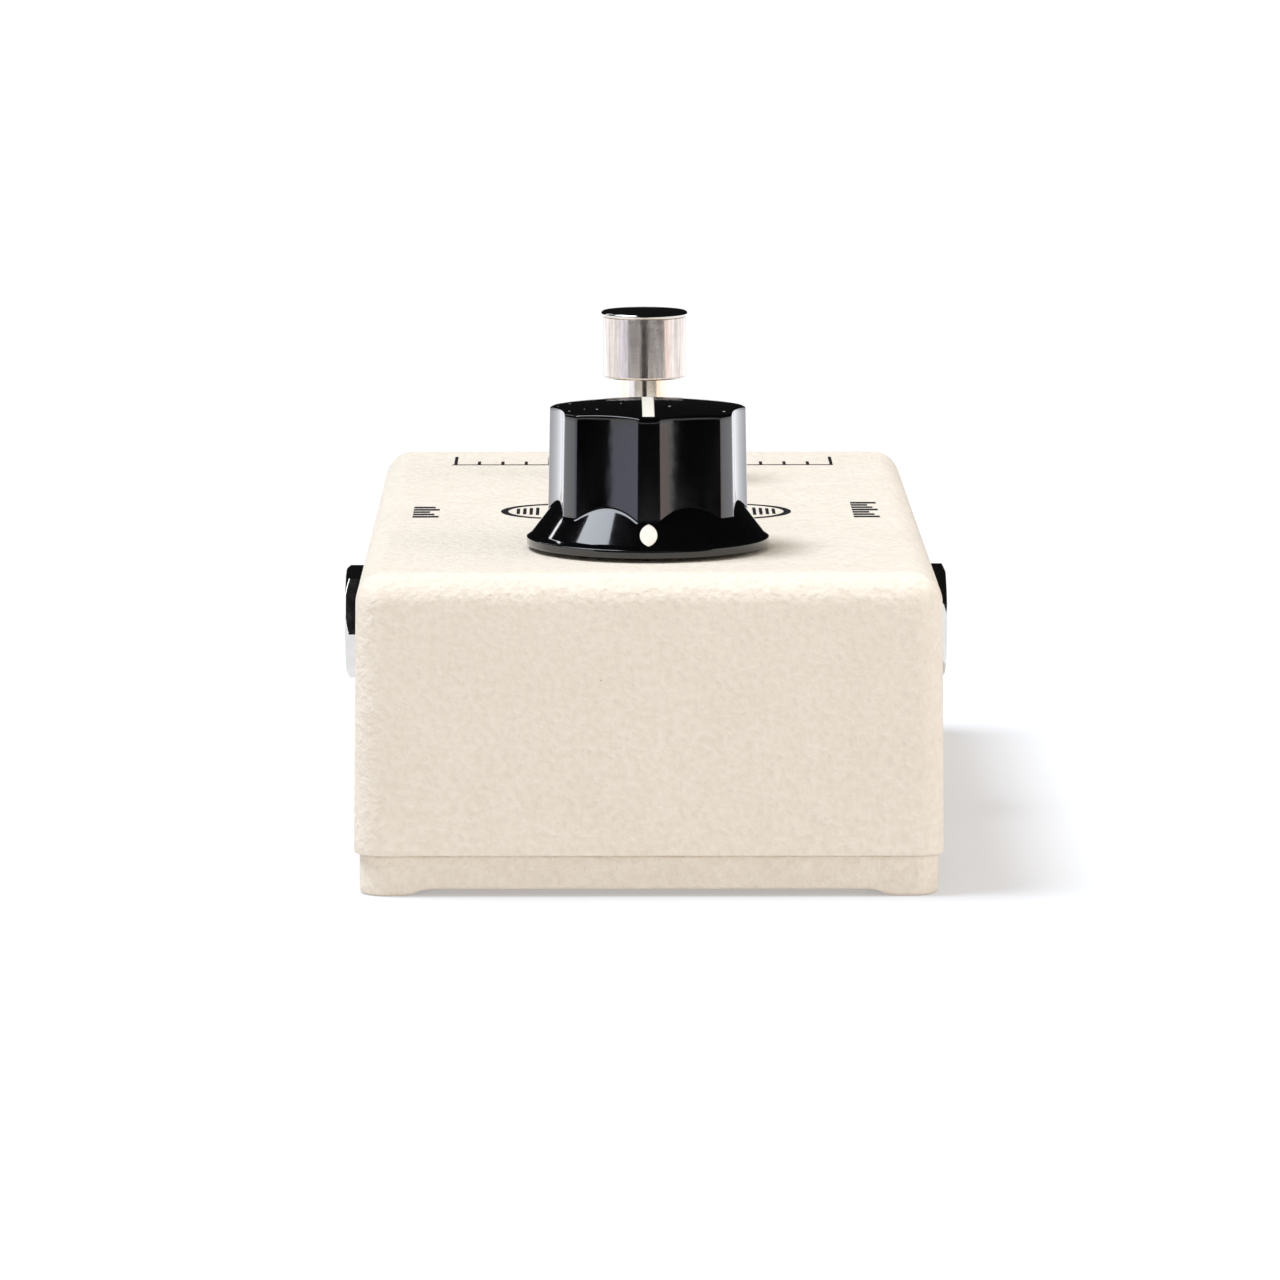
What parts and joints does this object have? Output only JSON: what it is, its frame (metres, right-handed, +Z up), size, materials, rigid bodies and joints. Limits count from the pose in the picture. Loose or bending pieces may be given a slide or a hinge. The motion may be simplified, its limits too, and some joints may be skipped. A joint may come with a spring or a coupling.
{
  "type": "volume boost pedal",
  "caption": "Compact die-cast stomp-box level pedal: tapered box in textured paint with a fluted skirted knob, a domed footswitch, a jack on each side, and its circuit and battery inside.",
  "frame": {"origin": "centre of the footprint, on the surface that the feet stand on", "axes": "+Z up; +Y towards the player's end, where the footswitch is; +X towards the output jack, -X towards the input and power jacks"},
  "size_m": [0.0654, 0.1116, 0.0523],
  "materials": {
    "cream_paint": "textured enamel on die-cast aluminium, satin",
    "phenolic": "gloss",
    "white_inlay": "matte",
    "nickel": "polished",
    "brass": "satin",
    "steel": "satin",
    "black_plastic": "matte",
    "blue_plastic": "satin",
    "white_plastic": "satin",
    "carbon_track": "matte",
    "tinned_contacts": "satin",
    "battery_sleeve": "satin",
    "foam": "matte",
    "green_board": "satin",
    "resistor_coat": "satin",
    "red_film": "gloss",
    "capacitor_sleeve": "satin",
    "red_wire": "satin",
    "black_wire": "satin",
    "yellow_wire": "satin",
    "blue_wire": "satin",
    "green_wire": "satin"
  },
  "bodies": {
    "chassis": {"enclosure_shell": "cream_paint", "base_plate": "cream_paint", "base_screws": "steel", "pot_track": "carbon_track", "pot_housing": "black_plastic", "pot_bushing": "nickel", "pot_washer": "steel", "pot_nut": "nickel", "pot_terminals": "tinned_contacts", "switch_spring": "steel", "switch_bushing": "nickel", "switch_top_nut": "nickel", "switch_washer": "black_plastic", "switch_lock_washer": "steel", "switch_inner_nut": "nickel", "switch_frame": "steel", "switch_housing": "blue_plastic", "switch_terminals": "tinned_contacts", "input_jack_housing": "black_plastic", "input_jack_bushing": "nickel", "input_jack_washer": "nickel", "input_jack_nut": "nickel", "input_jack_contacts": "tinned_contacts", "output_jack_housing": "black_plastic", "output_jack_bushing": "nickel", "output_jack_washer": "nickel", "output_jack_nut": "nickel", "output_jack_contacts": "tinned_contacts", "power_jack_housing": "black_plastic", "power_jack_pin": "nickel", "power_jack_nut": "nickel", "power_jack_terminals": "tinned_contacts", "battery_can": "battery_sleeve", "battery_studs": "tinned_contacts", "battery_snap": "black_plastic", "battery_foam": "foam", "circuit_board": "green_board", "op_amp_chip": "black_plastic", "resistors": "resistor_coat", "film_capacitors": "red_film", "electrolytic_capacitors": "capacitor_sleeve", "diode": "black_plastic", "battery_lead_red": "red_wire", "battery_lead_black": "black_wire", "power_wires": "red_wire", "input_wires": "yellow_wire", "output_wires": "blue_wire", "switch_wires": "green_wire"},
    "knob": {"knob_body": "phenolic", "knob_pointer_line": "white_inlay", "knob_skirt_dot": "white_inlay", "knob_insert": "brass", "knob_set_screw": "steel", "pot_shaft": "nickel", "pot_rotor": "white_plastic", "pot_wiper": "brass"},
    "footswitch_button": {"switch_cap": "nickel", "switch_plunger": "nickel"},
    "rocker": {"switch_rocker": "white_plastic"}
  },
  "joints": [
    {"name": "knob_turn", "type": "hinge", "parent": "chassis", "child": "knob", "pos_m": [0, -0.0335, 0.0405], "axis": [0, 0, 1], "range_deg": [-150, 150]},
    {"name": "button_press", "type": "slide", "parent": "chassis", "child": "footswitch_button", "axis": [0, 0, -1], "range_m": [0, 0.0028], "stiffness_N_per_m": 2500, "springref_m": -0.004, "deforming": ["switch_spring"]},
    {"name": "rocker_tilt", "type": "hinge", "parent": "chassis", "child": "rocker", "pos_m": [0, 0.026, 0.01595], "axis": [0, 1, 0], "range_deg": [-16, 0]}
  ]
}
